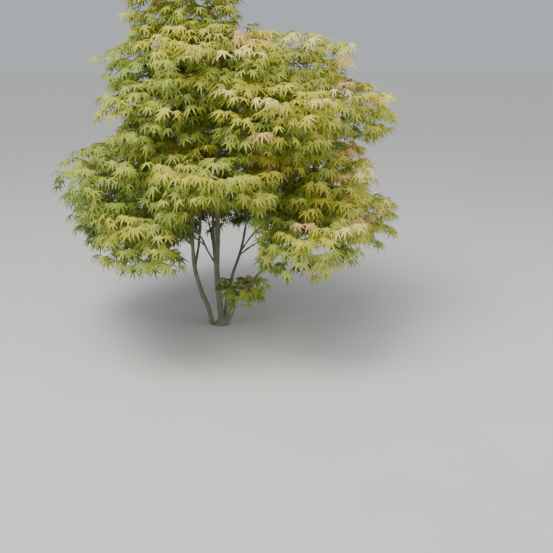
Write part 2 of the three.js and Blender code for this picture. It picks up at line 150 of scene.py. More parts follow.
# The stems are slim and smooth, rise from one foot and lean apart. Each one is green wood that thins
# on its way to the mass that it carries. A stem is its way, its root's radius and that mass, and the
# points of a way are height, across and back.
TAPER = 0.85  # 1 is a straight cone, and more thins sooner
OTHER_TAPERS = {"right_stem": 1.8, "slanting_stem": 2, "middle_fork": 1.3}
TIP_RADIUS = 4
BELOW_CUT = -10  # where the ways start, below the flat cut at the ground
STEMS = {
    "middle_stem": (
        [(BELOW_CUT, 0, 0), (150, -12, 0), (300, -22, 2), (500, -12, 0), (950, 2, 4), (1330, 48, 0)],
        18,
        "top",
    ),
    "left_stem": (
        [(BELOW_CUT, -52, -4), (100, -72, -12), (200, -108, -16), (330, -137, -18), (500, -142, -30)],
        14,
        "shoulder_front_left",
    ),
    "right_stem": (
        [(BELOW_CUT, 6, 20), (140, 31, 42), (260, 58, 62), (400, 106, 88), (550, 137, 112)],
        12,
        "shoulder_back_right",
    ),
    "slanting_stem": ([(BELOW_CUT, 15, -4), (120, 62, -16), (300, 205, -26)], 10, "skirt_right"),
    "low_shoot": ([(BELOW_CUT, 20, -20), (110, 70, -72)], 8, "low_spray"),
}
WAY_PARTS = 400  # straight parts that a limb's way is measured in
BARK_SPOTS = 41  # places along a limb that a distance to its bark is taken from


class Limb:
    """A smooth way through points, which thins from its root to its tip."""

    def __init__(self, name, points, radius):
        self.name, self.radius, self.taper = name, radius, OTHER_TAPERS.get(name, TAPER)
        self.way = smooth_way(points)
        steps = np.linalg.norm(np.diff(self.way, axis=0), axis=1)
        self.run = np.concatenate([[0], np.cumsum(steps)])
        self.length = self.run[-1]

    def at(self, shares):
        run = np.asarray(shares) * self.length
        return np.stack([np.interp(run, self.run, self.way[:, i]) for i in range(3)], axis=-1)

    def radius_at(self, shares):
        return TIP_RADIUS + (self.radius - TIP_RADIUS) * (1 - np.asarray(shares)) ** self.taper

    def heading(self):
        last = self.way[-1] - self.way[-3]
        return last / np.linalg.norm(last)

    def clear_of(self, points):
        """How far each point is from this limb's bark."""
        shares = np.linspace(0, 1, BARK_SPOTS)
        near = np.linalg.norm(np.atleast_2d(points)[:, None] - self.at(shares)[None], axis=2)
        return (near - self.radius_at(shares)).min(axis=1)


def smooth_way(points):
    """A centripetal curve through the points."""
    points = [np.array(point, float) for point in points]
    points = [2 * points[0] - points[1], *points, 2 * points[-1] - points[-2]]
    spans = len(points) - 3
    way = []
    for place in np.linspace(0, spans, WAY_PARTS + 1):
        first = min(int(place), spans - 1)
        part = place - first
        a, b, c, d = points[first : first + 4]
        pairs = ((a, b), (b, c), (c, d))
        before, here, after = (max(np.dot(q - p, q - p) ** 0.25, 1e-4) for p, q in pairs)
        leave = ((b - a) / before - (c - a) / (before + here) + (c - b) / here) * here
        reach = ((c - b) / here - (d - b) / (here + after) + (d - c) / after) * here
        square = -3 * b + 3 * c - 2 * leave - reach
        cube = 2 * b - 2 * c + leave + reach
        way.append(b + leave * part + square * part**2 + cube * part**3)
    return np.array(way)


limbs = {}
for name, (way, radius, carried) in STEMS.items():
    points = [(across, back, height) for height, across, back in way]
    limbs[name] = Limb(name, [*points, mass_named[carried].entry], radius)
    mass_named[carried].limb = limbs[name]

# Three forks leave the left and the middle stem a third of a metre up, close to each other, and stand
# steeply in the middle of the crown.
FORKS = {
    "left_fork": ("left_stem", 330, [(470, -112, 12), (800, -104, 62)], 8, "upper_left"),
    "middle_fork": ("middle_stem", 285, [(420, -36, 34), (640, -44, 84)], 10, "shoulder_back_left"),
    "thin_fork": ("middle_stem", 335, [(425, -64, -22), (520, -100, -52)], 6.5, "tier_front_left"),
}
for name, (parent, height, way, radius, carried) in FORKS.items():
    way_up = limbs[parent].way
    start = way_up[np.searchsorted(way_up[:, 2], height)]
    points = [(across, back, up) for up, across, back in way]
    limbs[name] = Limb(name, [start, *points, mass_named[carried].entry], radius)
    mass_named[carried].limb = limbs[name]

# The boughs are thinner limbs that leave a stem, rise and flatten towards their mass. Each grows from
# the place that gives it the shortest way with no other limb in it.
BOUGH = {"lowest": 320, "least_rise": 0.4, "steepest": 1.1, "arch": 1.6, "share": 0.72, "slender": 0.011}
BOUGH_LEAVING = 0.25  # share of a bough that may lie near its own stem
BOUGH_ROOTS = np.arange(0.1, 0.941, 0.02)  # shares of a stem that a bough may leave at
BOUGH_SPOTS = 15  # places along a bough where its clearance is measured
LIMB_CLEARANCE = 7


def grow_bough(mass, stems):
    """The shortest clear bough from a stem to the mass."""
    best, least = None, math.inf
    for parent in stems:
        for share in BOUGH_ROOTS:
            start = parent.at(share)
            rise = mass.entry[2] - start[2]
            run = math.hypot(*(mass.entry - start)[:2])
            if start[2] < BOUGH["lowest"] or rise < BOUGH["least_rise"] * run:
                continue
            cost = math.hypot(run, rise) + max(0, rise - BOUGH["steepest"] * run)
            slender = TIP_RADIUS + BOUGH["slender"] * math.hypot(run, rise)
            radius = min(BOUGH["share"] * parent.radius_at(share), slender)
            if cost >= least or radius <= TIP_RADIUS:
                continue
            parts = np.array([0, 1 / 3, 2 / 3, 1])
            points = start + (mass.entry - start) * parts[:, None]
            points[:, 2] = start[2] + rise * (1 - (1 - parts) ** BOUGH["arch"])
            bough = Limb(f"{mass.name}_bough", points, radius)
            shares = np.linspace(0, 1, BOUGH_SPOTS)
            spots, radii = bough.at(shares), bough.radius_at(shares)
            gaps = {other.name: other.clear_of(spots) - radii for other in limbs.values()}
            gaps[parent.name] = gaps[parent.name][shares > BOUGH_LEAVING]
            if all(gap.min() >= LIMB_CLEARANCE for gap in gaps.values()):
                best, least = bough, cost
    return best


stems = list(limbs.values())
for mass in masses:
    if mass.limb is None:
        mass.limb = grow_bough(mass, stems)
        limbs[mass.limb.name] = mass.limb


# The bark is one skin over the foot, the stems, the forks and the boughs: smooth young wood that
# flows together where limbs part, with shallow furrows along it, and a foot with soft root ridges.
# Tubes are run together by a fine remesh, smoothed, and then furrowed.
class Skin:
    """Points and triangles of one joined mesh."""

    def __init__(self):
        self.points, self.faces, self.count = [], [], 0

    def add(self, points, faces):
        self.points.append(np.asarray(points, float))
        self.faces.append(np.asarray(faces, int) + self.count)
        self.count += len(points)

    def tube(self, way, radii, sides):
        """A closed tube along the way."""
        way = np.asarray(way, float)
        ahead = np.gradient(way, axis=0)
        ahead /= np.linalg.norm(ahead, axis=1)[:, None]
        across = np.cross(ahead[0], [0.0, 0.0, 1.0] if abs(ahead[0][2]) < 0.9 else [1.0, 0.0, 0.0])
        rings = []
        for point, direction, radius in zip(way, ahead, radii):
            across = across - direction * (across @ direction)
            across /= np.linalg.norm(across)
            over = np.cross(direction, across)
            turns = np.arange(sides) * 2 * math.pi / sides
            rings.append(point + radius * (np.cos(turns)[:, None] * across + np.sin(turns)[:, None] * over))
        faces = []
        for ring in range(len(way) - 1):
            for side in range(sides):
                a, b = ring * sides + side, ring * sides + (side + 1) % sides
                faces += [(a, b, b + sides), (a, b + sides, a + sides)]
        last = (len(way) - 1) * sides
        for side in range(1, sides - 1):
            faces += [(0, side + 1, side), (last, last + side, last + side + 1)]
        self.add(np.concatenate(rings), faces)

    def piece(self, name, material, slot, nodes):
        """The mesh as one piece of the plant, in metres."""
        points = np.concatenate(self.points) * MM
        faces = np.concatenate(self.faces)
        mesh = bpy.data.meshes.new(name)
        mesh.vertices.add(len(points))
        mesh.vertices.foreach_set("co", points.ravel())
        mesh.loops.add(faces.size)
        mesh.loops.foreach_set("vertex_index", faces.ravel())
        mesh.polygons.add(len(faces))
        mesh.polygons.foreach_set("loop_start", np.arange(0, faces.size, 3))
        mesh.update(calc_edges=True)
        mesh.materials.append(material)
        piece = bpy.data.objects.new(name, mesh)
        bpy.context.scene.collection.objects.link(piece)
        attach(piece, "root")
        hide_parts(*nodes)
        return piece


class Channel:
    """A node's output. Sums written with it add Math nodes."""

    def __init__(self, finish, socket):
        self.finish, self.socket = finish, socket

    def sum(self, operation, first, second):
        return self.finish.node("ShaderNodeMath", {"operation": operation}, {0: first, 1: second})

    def __add__(self, other):
        return self.sum("ADD", self, other)

    def __mul__(self, other):
        return self.sum("MULTIPLY", self, other)

    __radd__ = __add__
    __rmul__ = __mul__


class Finish:
    """A material made of nodes, round one Principled shader."""

    def __init__(self, name, **fixed):
        self.material = bpy.data.materials.new(name)
        self.material.use_nodes = True
        self.nodes = self.material.node_tree.nodes
        self.shader = self.nodes["Principled BSDF"]
        for socket, value in fixed.items():
            self.shader.inputs[socket.replace("_", " ")].default_value = value

    def link(self, value, socket):
        self.material.node_tree.links.new(value.socket, socket)

    def node(self, kind, settings, values, output=0):
        made = self.nodes.new(kind)
        for setting, value in settings.items():
            if setting == "stops":
                for stop, (place, shade) in zip(made.color_ramp.elements, value):
                    stop.position, stop.color = place, (shade, shade, shade, 1)
            else:
                setattr(made, setting, value)
        for socket, value in values.items():
            if isinstance(value, Channel):
                self.link(value, made.inputs[socket])
            else:
                made.inputs[socket].default_value = value
        return Channel(self, made.outputs[output])

    def place(self, stretch):
        """The object's own coordinates, stretched."""
        own = self.node("ShaderNodeTexCoord", {}, {}, "Object")
        return self.node("ShaderNodeVectorMath", {"operation": "MULTIPLY"}, {0: own, 1: stretch})

    def grain(self, place, scale, detail=3.0):
        return self.node("ShaderNodeTexNoise", {}, {"Vector": place, "Scale": scale, "Detail": detail})

    def steps(self, value, *stops):
        return self.node("ShaderNodeValToRGB", {"stops": stops}, {0: value})

    def blend(self, share, first, second):
        """A colour between two, each a colour's numbers or a channel."""
        colours = {6: first, 7: second}
        colours = {k: v if isinstance(v, Channel) else (*v, 1) for k, v in colours.items()}
        return self.node("ShaderNodeMix", {"data_type": "RGBA"}, {0: share, **colours}, 2)

    def feed(self, socket, value):
        self.link(value, self.shader.inputs[socket])

    def relief(self, height, depth):
        values = {"Height": height, "Distance": depth, "Strength": 1.0}
        self.feed("Normal", self.node("ShaderNodeBump", {}, values, "Normal"))


FLARE = {"reach": 46, "depth": 0.84, "height": 52, "across": -3, "neck": 0.9, "fall": 2.8}
RIDGES = {"count": 5, "high": 0.09}
FOOT_RINGS, FOOT_SIDES = 24, 64
LIMB_SIDES = 14
LIMB_RINGS = {"fewest": 12, "apart": 9}
BARK_VOXEL = 2.6
BARK_KEPT = 0.42  # of its faces, once it is smooth
FURROW = {"deep": 0.6, "across": 0.16, "along": 0.035}
SWELL = {"deep": 1.7, "scale": 0.024}


def foot(skin, stem_radius):
    """The flared foot, with root ridges that fade upwards."""
    inner = stem_radius * FLARE["neck"]
    heights = np.linspace(BELOW_CUT, FLARE["height"], FOOT_RINGS)
    turns = np.linspace(0, 2 * math.pi, FOOT_SIDES, endpoint=False)
    rings = []
    for height in heights:
        share = max(height, 0) / FLARE["height"]
        low = 1 - share
        spread = inner + (FLARE["reach"] - inner) * math.exp(-FLARE["fall"] * share)
        ridge = 1 + RIDGES["high"] * low * np.cos(RIDGES["count"] * turns)
        x = spread * np.cos(turns) * ridge + FLARE["across"] * low
        y = spread * np.sin(turns) * ridge * (1 - (1 - FLARE["depth"]) * low)
        rings.append(np.stack([x, y, np.full_like(x, height)], axis=1))
    faces = []
    for ring in range(FOOT_RINGS - 1):
        for side in range(FOOT_SIDES):
            a, b = ring * FOOT_SIDES + side, ring * FOOT_SIDES + (side + 1) % FOOT_SIDES
            faces += [(a, b, b + FOOT_SIDES), (a, b + FOOT_SIDES, a + FOOT_SIDES)]
    last = (FOOT_RINGS - 1) * FOOT_SIDES
    for side in range(1, FOOT_SIDES - 1):
        faces += [(0, side + 1, side), (last, last + side, last + side + 1)]
    skin.add(np.concatenate(rings), faces)


bark_finish = Finish("bark", Roughness=0.7, Specular_IOR_Level=0.35)
MIDDLE_STEM_AT = (-0.014, 0.0, 0.0)  # metres: browner bark lies round this upright line
on_ground = bark_finish.place((1, 1, 0))
from_middle = bark_finish.node(
    "ShaderNodeVectorMath", {"operation": "DISTANCE"}, {0: on_ground, 1: MIDDLE_STEM_AT}, "Value"
)
brownness = bark_finish.steps(from_middle, (0.022, 1.0), (0.045, 0.0))
broad = bark_finish.grain(bark_finish.place((1, 1, 0.5)), 11.0)
patches = bark_finish.steps(broad, (0.36, 0.0), (0.64, 1.0))
streaks = bark_finish.grain(bark_finish.place((1, 1, 0.16)), 190.0, 5.0)
fine = bark_finish.grain(bark_finish.place((1, 1, 2.5)), 150.0)
flecks = bark_finish.steps(fine, (0.66, 0.0), (0.74, 1.0))
young = bark_finish.blend(patches, (0.112, 0.126, 0.072), (0.185, 0.178, 0.115))
mature = bark_finish.blend(patches, (0.132, 0.112, 0.076), (0.2, 0.172, 0.125))
bare = bark_finish.blend(brownness, young, mature)
dusty = bark_finish.blend(streaks * 0.6, bare, (0.29, 0.27, 0.21))
crusts = bark_finish.grain(bark_finish.place((1, 1, 0.7)), 34.0)
lichen = bark_finish.steps(crusts, (0.52, 0.0), (0.6, 1.0))
flecked = bark_finish.blend(flecks * 0.45, dusty, (0.38, 0.36, 0.28))
bark_finish.feed("Base Color", bark_finish.blend(lichen * 0.5, flecked, (0.27, 0.29, 0.2)))
bark_finish.feed("Roughness", 0.62 + streaks * 0.25)
bark_finish.relief(streaks + flecks * 0.4, 0.0009)

wood = Skin()
foot(wood, limbs["middle_stem"].radius)
for limb in limbs.values():
    rings = max(LIMB_RINGS["fewest"], int(limb.length / LIMB_RINGS["apart"]))
    shares = np.linspace(0, 1, rings)
    wood.tube(limb.at(shares), limb.radius_at(shares), LIMB_SIDES)
bark = wood.piece("bark_of_stems_and_boughs", bark_finish.material, "bark", limbs)
remesh = bark.modifiers.new("run together", "REMESH")
remesh.mode, remesh.voxel_size = "VOXEL", BARK_VOXEL * MM
relax = bark.modifiers.new("soften", "SMOOTH")
relax.factor, relax.iterations = 0.5, 5
bpy.context.view_layer.update()
smoothed = bpy.data.meshes.new_from_object(bark.evaluated_get(bpy.context.evaluated_depsgraph_get()))
bark.modifiers.clear()
bark.data = smoothed
spots = np.empty((len(smoothed.vertices), 3), np.float32)
outward = np.empty_like(spots)
smoothed.vertices.foreach_get("co", spots.ravel())
smoothed.vertex_normals.foreach_get("vector", outward.ravel())
stretch = np.array([FURROW["across"], FURROW["across"], FURROW["along"]]) / MM
furrows = np.array([noise.noise(Vector(spot)) for spot in spots * stretch])
swells = np.array([noise.noise(Vector(spot)) for spot in spots * SWELL["scale"] / MM])
spots += outward * ((furrows * FURROW["deep"] + swells * SWELL["deep"]) * MM)[:, None]
spots[:, 2] = np.maximum(spots[:, 2], 0)
smoothed.vertices.foreach_set("co", spots.ravel())
fewer = bark.modifiers.new("fewer faces", "DECIMATE")
fewer.ratio = BARK_KEPT
bpy.context.view_layer.update()
bark.data = bpy.data.meshes.new_from_object(bark.evaluated_get(bpy.context.evaluated_depsgraph_get()))
bark.modifiers.clear()
bark.data.shade_smooth()

# The twigs branch inside each mass. Its own stem goes straight on from the limb, through the middle
# and out to the tip. Twigs join it at the nearest place to where there is room, in shallow layers that
# slope outwards, and fine shoots join the twigs in the same way. Shoots are green to red-brown.
MASS_STEM = {"tucked": 6, "straight": 0.15, "raised": 0.05, "reach": 0.45}
MASS_STEM_SKIN = {"end_radius": 1.9, "rings": 14, "sides": 7}
MASS_STEM_JOINTS = np.linspace(0.2, 1, 9)  # shares of its length where a twig may join it
LAYERS = {"lowest": -0.5, "highest": 0.74, "apart": 76}  # in sizes of a mass, and millimetres
LAYER_FALL = 0.24  # how much a layer droops towards its rim
LAYER_LEVEL_AT = 0.4  # the square of the place where that makes no difference
LAYER_SLOPE = {"usual": (-0.2, 0), "spread": 0.15}  # outwards and aside, in sizes
LAYER_SCATTER = 0.05  # of heights in a layer
TWIGS = {"count": 22, "across": 0.68, "radii": (2.6, 1.3), "sides": 5, "steepest": 0.75, "arch": 0.1}
SHOOTS = {"count": 108, "across": 0.9, "radii": (1.3, 0.7), "sides": 3, "steepest": 0.95, "arch": 0.08}
SIDE_BEND = 0.05  # scatter of how far they bend aside, in lengths
SHOOT_PARTS = 4  # straight parts of a twig or a shoot
SHORTEST_SHOOT = 12
COUNTED_SIZE = (350, 330, 200)  # of a mass with that many: a smaller one has fewer
FEWEST = 0.25  # of that number
FULLER = {"top": 1.35}  # a tier with more than its share
WELL_INSIDE = 0.93  # of a mass: where twigs and shoots may end
PLACES_WEIGHED = 16
HEIGHT_WEIGHS = 1.5  # in how much room a place has
NEAR_ROOT_WEIGHS = 0.35  # the run back to the stem, beside the distance to a joint
TOO_STEEP = 900  # added to the distance of a joint that the way would be too steep from
GROWTH_SEED = 400

shoot_finish = Finish("shoots", Roughness=0.55)
slow_change = shoot_finish.grain(shoot_finish.place((1, 1, 1)), 9.0)
reddened = shoot_finish.steps(slow_change, (0.35, 0.0), (0.65, 1.0))
shoot_finish.feed("Base Color", shoot_finish.blend(reddened, (0.16, 0.15, 0.06), (0.21, 0.1, 0.055)))
shoot_finish.relief(shoot_finish.grain(shoot_finish.place((1, 1, 1)), 260.0), 0.0004)


def arched(start, end, arch, chance):
    """A way from start to end that rises a little over the straight one."""
    length = np.linalg.norm(end - start)
    aside = np.cross((end - start) / length, UP)
    bend = UP * arch * length + aside * chance.normal(0, SIDE_BEND) * length
    share = np.linspace(0, 1, SHOOT_PARTS + 1)[:, None]
    return start + (end - start) * share + bend * 4 * share * (1 - share)


def layered_places(mass, kind, slope, chance, taken):
    """Places for shoots or twigs to end, each the roomiest of several."""
    places = []
    layers = np.arange(LAYERS["lowest"], LAYERS["highest"], LAYERS["apart"] / mass.size[2])
    share = max(FEWEST, np.prod(mass.size / COUNTED_SIZE)) * FULLER.get(mass.tier, 1)
    for _ in range(int(kind["count"] * share)):
        flat = chance.uniform(-1, 1, (PLACES_WEIGHED, 2))
        ring = np.hypot(*flat.T)
        flat, ring = flat[ring <= 1], ring[ring <= 1]
        height = chance.choice(layers, len(flat)) + chance.normal(0, LAYER_SCATTER, len(flat))
        height += flat @ slope - LAYER_FALL * (ring**2 - LAYER_LEVEL_AT)
        shares = np.stack([flat[:, 0] * kind["across"], flat[:, 1] * kind["across"], height], axis=1)
        found = mass.middle + shares * mass.size @ np.stack([mass.out, mass.side, UP])
        found = found[mass.holds(found, WELL_INSIDE)]
        if not len(found):
            continue
        offsets = found[:, None] - np.array(taken)[None]
        room = np.linalg.norm(offsets * (1, 1, HEIGHT_WEIGHS), axis=2).min(axis=1)
        taken.append(found[int(room.argmax())])
        places.append(taken[-1])
    return places


def joins(places, skeleton, kind, chance):
    """Each place's way back to the nearest joint of the skeleton, which the new ways then lengthen."""
    ways = []
    for end in places:
        joints = np.array([point for point, _ in skeleton])
        runs = np.array([run for _, run in skeleton])
        reach = np.linalg.norm(joints - end, axis=1)
        steep = np.abs(joints[:, 2] - end[2]) > kind["steepest"] * reach
        best = int(np.argmin(reach + NEAR_ROOT_WEIGHS * runs + TOO_STEEP * steep))
        if reach[best] < SHORTEST_SHOOT:
            continue
        way = arched(joints[best], end, kind["arch"], chance)
        ways.append(way)
        for part in range(1, SHOOT_PARTS + 1):
            skeleton.append((way[part], runs[best] + reach[best] * part / SHOOT_PARTS))
    return ways


def grow_mass(mass, chance):
    """The ways of a mass's stem, twigs and shoots."""
    heading = mass.limb.heading()
    start = mass.entry - heading * MASS_STEM["tucked"]
    straight = mass.entry + heading * mass.size[2] * MASS_STEM["straight"]
    middle = mass.middle + UP * mass.size[2] * MASS_STEM["raised"]
    outer = middle + mass.out * mass.size[0] * MASS_STEM["reach"]
    stem = Limb(mass.name, [start, straight, middle, outer], TIP_RADIUS)
    skeleton = [(stem.at(share), stem.length * share) for share in MASS_STEM_JOINTS]
    slope = chance.normal(LAYER_SLOPE["usual"], LAYER_SLOPE["spread"])
    twigs = joins(layered_places(mass, TWIGS, slope, chance, [outer]), skeleton, TWIGS, chance)
    shoots = joins(layered_places(mass, SHOOTS, slope, chance, [middle]), skeleton, SHOOTS, chance)
    return stem, twigs, shoots


wood_of = {}
shoots_of = {}
for number, mass in enumerate(masses):
    chance = np.random.default_rng(GROWTH_SEED + number)
    stem, twigs, shoots = grow_mass(mass, chance)
    skin = wood_of.setdefault(mass.tier, Skin())
    shares = np.linspace(0, 1, MASS_STEM_SKIN["rings"])
    end_radius = MASS_STEM_SKIN["end_radius"]
    radii = end_radius + (TIP_RADIUS - end_radius) * (1 - shares)
    skin.tube(stem.at(shares), radii, MASS_STEM_SKIN["sides"])
    for kind, ways in ((TWIGS, twigs), (SHOOTS, shoots)):
        for way in ways:
            skin.tube(way, np.linspace(*kind["radii"], SHOOT_PARTS + 1), kind["sides"])
    shoots_of[mass.name] = shoots
nodes_of = {}
for mass in masses:
    nodes_of.setdefault(mass.tier, []).append(f"{mass.name}_leaves")
for tier_name, skin in wood_of.items():
    skin.piece(f"{tier_name}_twigs", shoot_finish.material, "bark", nodes_of[tier_name])

# The leaves are hand-shaped, with seven narrow, deeply cut and long-pointed lobes, each folded along
# its rib and drooping to its tip. They stand in pairs on thin stalks along each shoot, and hang
# outwards. Their colour goes by the shoot as painted light and shade: shoots that end inside get deep
# green, painted shade, and those outside, high, to the right and to the front get lighter tints up to
# pale gold and cream, painted light, with the cream partly a painted highlight.
LOBES = [(-118, 0.40), (-71, 0.76), (-34, 0.94), (0, 1.0), (34, 0.94), (71, 0.76), (118, 0.40)]
LOBE_WIDTHS = [(0.42, 0.078, (-1, 0, 1)), (0.7, 0.05, (-1, 1))]  # place, half width, corners
SHORT_LOBE = 0.5  # one that has the first of these widths alone
LOBE_TURNS = {"angle": 3, "bend": 0.1}  # scatter, in degrees and in radians
LOBE_SCATTER = {"length": (0.92, 1.05), "cleft": (0.9, 1.1)}
LOBE_FOLD = 0.32  # rise of its edges over the rib
LOBE_DROOP = {"least": 0.12, "most": 0.36, "curve": 1.8, "at_tip": 1.25}
CLEFT = 0.25  # how near to the stalk the lobes part
CLEFT_RISE = 0.01
BASE_CLEFT = {"angle": 158, "depth": 0.07}  # on either side of the stalk
LEAF_LENGTH = 60
LENGTH_SCATTER = (0.78, 1.08)  # in that length
SMALLER_LEAVES = {"least": 0.75, "more": 0.25, "full_size": 350}  # in a smaller mass
STALK = {"length": 30, "scatter": (0.7, 1.15), "radii": (0.9, 0.6), "sides": 3}
STALK_RISE = {"inside": 0.25, "less_at_rim": 0.3}
PAIRS = {1.0: 38, 0.72: 66, 0.42: 72}  # a leaf pair's place along its shoot: its angle to the shoot
FACING = {"mass": 0.6, "outwards": 0.7}  # beside 1 for the shoot's own heading
LEAF_TURNS = {"pair": 9, "inwards": 22, "roll": 13, "droop": 10}  # degrees of scatter
SHAPES = 8  # leaf shapes that are dealt out
SHAPE_SEED, LEAF_SEED = 50, 700
JUST_OUTSIDE = 1.02  # of a mass: how far a leaf's tip may reach
CROWN_FROM, CROWN_TO = 350, 1850
DROOP = {"inside": 14, "low_rim": 34, "high_rim": 12}  # degrees: the last two are added to the first
# The tints run from deep green, which is painted shade inside the crown, to cream, which is partly a
# painted highlight; blush is the leaves' own warm tips.
TINTS = {
    "deep": ((0.112, 0.176, 0.034), "leaf_deep"),
    "green": ((0.220, 0.302, 0.050), "leaf_green"),
    "lime": ((0.330, 0.412, 0.068), "leaf_green"),
    "fresh": ((0.430, 0.465, 0.074), "leaf_green"),
    "gold": ((0.550, 0.520, 0.070), "leaf_gold"),
    "cream": ((0.800, 0.720, 0.260), "leaf_gold"),
    "blush": ((0.760, 0.525, 0.215), "leaf_gold"),
}
# Painted light picks a shoot's tint: the least painted light that each tint needs, the weights of where the
# shoot ends, outside, high, to the right and to the front, and the tiers given more painted light.
PAINTED_LIGHT_NEEDED = {"cream": 1.28, "gold": 1.0, "fresh": 0.74, "lime": 0.48, "green": 0.2}
PAINTED_LIGHT = {"everywhere": 0.05, "outer": 0.8, "high": 0.42, "right": 0.27, "front": 0.27, "scatter": 0.17}
OUTER = {"aside": 0.5, "outwards": 0.3, "above": 0.5, "lowest": -0.3}
PAINTED_LIGHTER_TIERS = {"top": 0.2, "low_spray": 0.04}  # tiers, and by how much
BLUSHING = {"from": 0.45, "everywhere": 0.01, "right": 0.13}
HALF_WIDTH = 900  # of the crown
MOTTLE = (0.82, 1.16)  # of a tint: its darkest and its lightest
SEEN_THROUGH = 0.34  # share of light that passes through a leaf


def leaf_shape(chance):
    """A leaf one unit long: its points, ahead, left and up, and its triangles."""
    droop = chance.uniform(LOBE_DROOP["least"], LOBE_DROOP["most"])
    points = [(0, 0, 0)]
    faces = []
    angles = [math.radians(angle + chance.normal(0, LOBE_TURNS["angle"])) for angle, _ in LOBES]
    base, shallow = math.radians(BASE_CLEFT["angle"]), BASE_CLEFT["depth"]
    clefts = [-base, *[(a + b) / 2 for a, b in zip(angles, angles[1:])], base]
    parted = [CLEFT * chance.uniform(*LOBE_SCATTER["cleft"]) for _ in angles[1:]]
    depths = [shallow, *parted, shallow]
    for angle, depth in zip(clefts, depths):
        points.append((depth * math.cos(angle), depth * math.sin(angle), CLEFT_RISE))
    for number, (angle, (_, length)) in enumerate(zip(angles, LOBES)):
        length *= chance.uniform(*LOBE_SCATTER["length"])
        bend = chance.normal(0, LOBE_TURNS["bend"])
        right, left = number + 1, number + 2
        first = len(points)
        for place, width, hands in LOBE_WIDTHS if length > SHORT_LOBE else LOBE_WIDTHS[:1]:
            turn = angle + bend * place
            along = np.array([math.cos(turn), math.sin(turn)])
            aside = np.array([-along[1], along[0]])
            sag = -droop * (place * length) ** LOBE_DROOP["curve"]
            for hand in hands:
                spot = along * length * place + aside * hand * width * length
                points.append((*spot, sag + abs(hand) * LOBE_FOLD * width * length))
        turn = angle + bend
        sag = -droop * LOBE_DROOP["at_tip"] * length ** LOBE_DROOP["curve"]
        points.append((length * math.cos(turn), length * math.sin(turn), sag))
        low_right, rib, low_left, high_right, high_left = range(first, first + 5)
        end = len(points) - 1
        faces += [(0, right, rib), (right, low_right, rib), (0, rib, left), (left, rib, low_left)]
        if length > SHORT_LOBE:
            faces += [(rib, low_right, high_right), (rib, high_left, low_left)]
            faces += [(rib, high_right, high_left), (high_right, end, high_left)]
        else:
            faces += [(rib, low_right, end), (rib, end, low_left)]
    return np.array(points), np.array(faces)


def leaf_finish(name, colour):
    """Thin leaf: it lets some light through, and is mottled a little."""
    finish = Finish(name, Roughness=0.5, Specular_IOR_Level=0.3)
    mottle = finish.grain(finish.place((1, 1, 1)), 45.0)
    dark, light = (tuple(part * share for part in colour) for share in MOTTLE)
    finish.feed("Base Color", finish.blend(mottle, dark, light))
    finish.feed("Roughness", 0.4 + mottle * 0.2)
    finish.relief(finish.grain(finish.place((1, 1, 1)), 420.0), 0.0003)
    glow = finish.node("ShaderNodeBsdfTranslucent", {}, {"Color": (*colour, 1)})
    surface = Channel(finish, finish.shader.outputs["BSDF"])
    both = finish.node("ShaderNodeMixShader", {}, {0: SEEN_THROUGH, 1: surface, 2: glow})
    finish.link(both, finish.nodes["Material Output"].inputs["Surface"])
    return finish.material


def height_share(point):
    """How high a point is in the crown, from 0 to 1."""
    return (point[2] - CROWN_FROM) / (CROWN_TO - CROWN_FROM)


def tint_of(end, mass, chance):
    """The tint of a shoot's leaves, by where the shoot ends in the crown: painted light, paler outside,
    high, to the right and to the front, and painted shade, darker inside.
    """
    shares = mass.shares(end)[0]
    outer = math.hypot(shares[0], shares[1]) * OUTER["aside"] + max(shares[0], 0) * OUTER["outwards"]
    outer += max(shares[2], OUTER["lowest"]) * OUTER["above"]
    to_right, to_front = end[0] / HALF_WIDTH, -end[1] / HALF_WIDTH
    # light here is painted light: the more of it a shoot's place is given, the paler its tint.
    light = PAINTED_LIGHT["everywhere"] + PAINTED_LIGHT["outer"] * outer + PAINTED_LIGHT["high"] * height_share(end)
    light += PAINTED_LIGHT["right"] * to_right + PAINTED_LIGHT["front"] * to_front + chance.normal(0, PAINTED_LIGHT["scatter"])
    light += PAINTED_LIGHTER_TIERS.get(mass.tier, 0)
    if outer > BLUSHING["from"] and chance.random() < BLUSHING["everywhere"] + BLUSHING["right"] * to_right:
        return "blush"
    return next((tint for tint, least in PAINTED_LIGHT_NEEDED.items() if light > least), "deep")


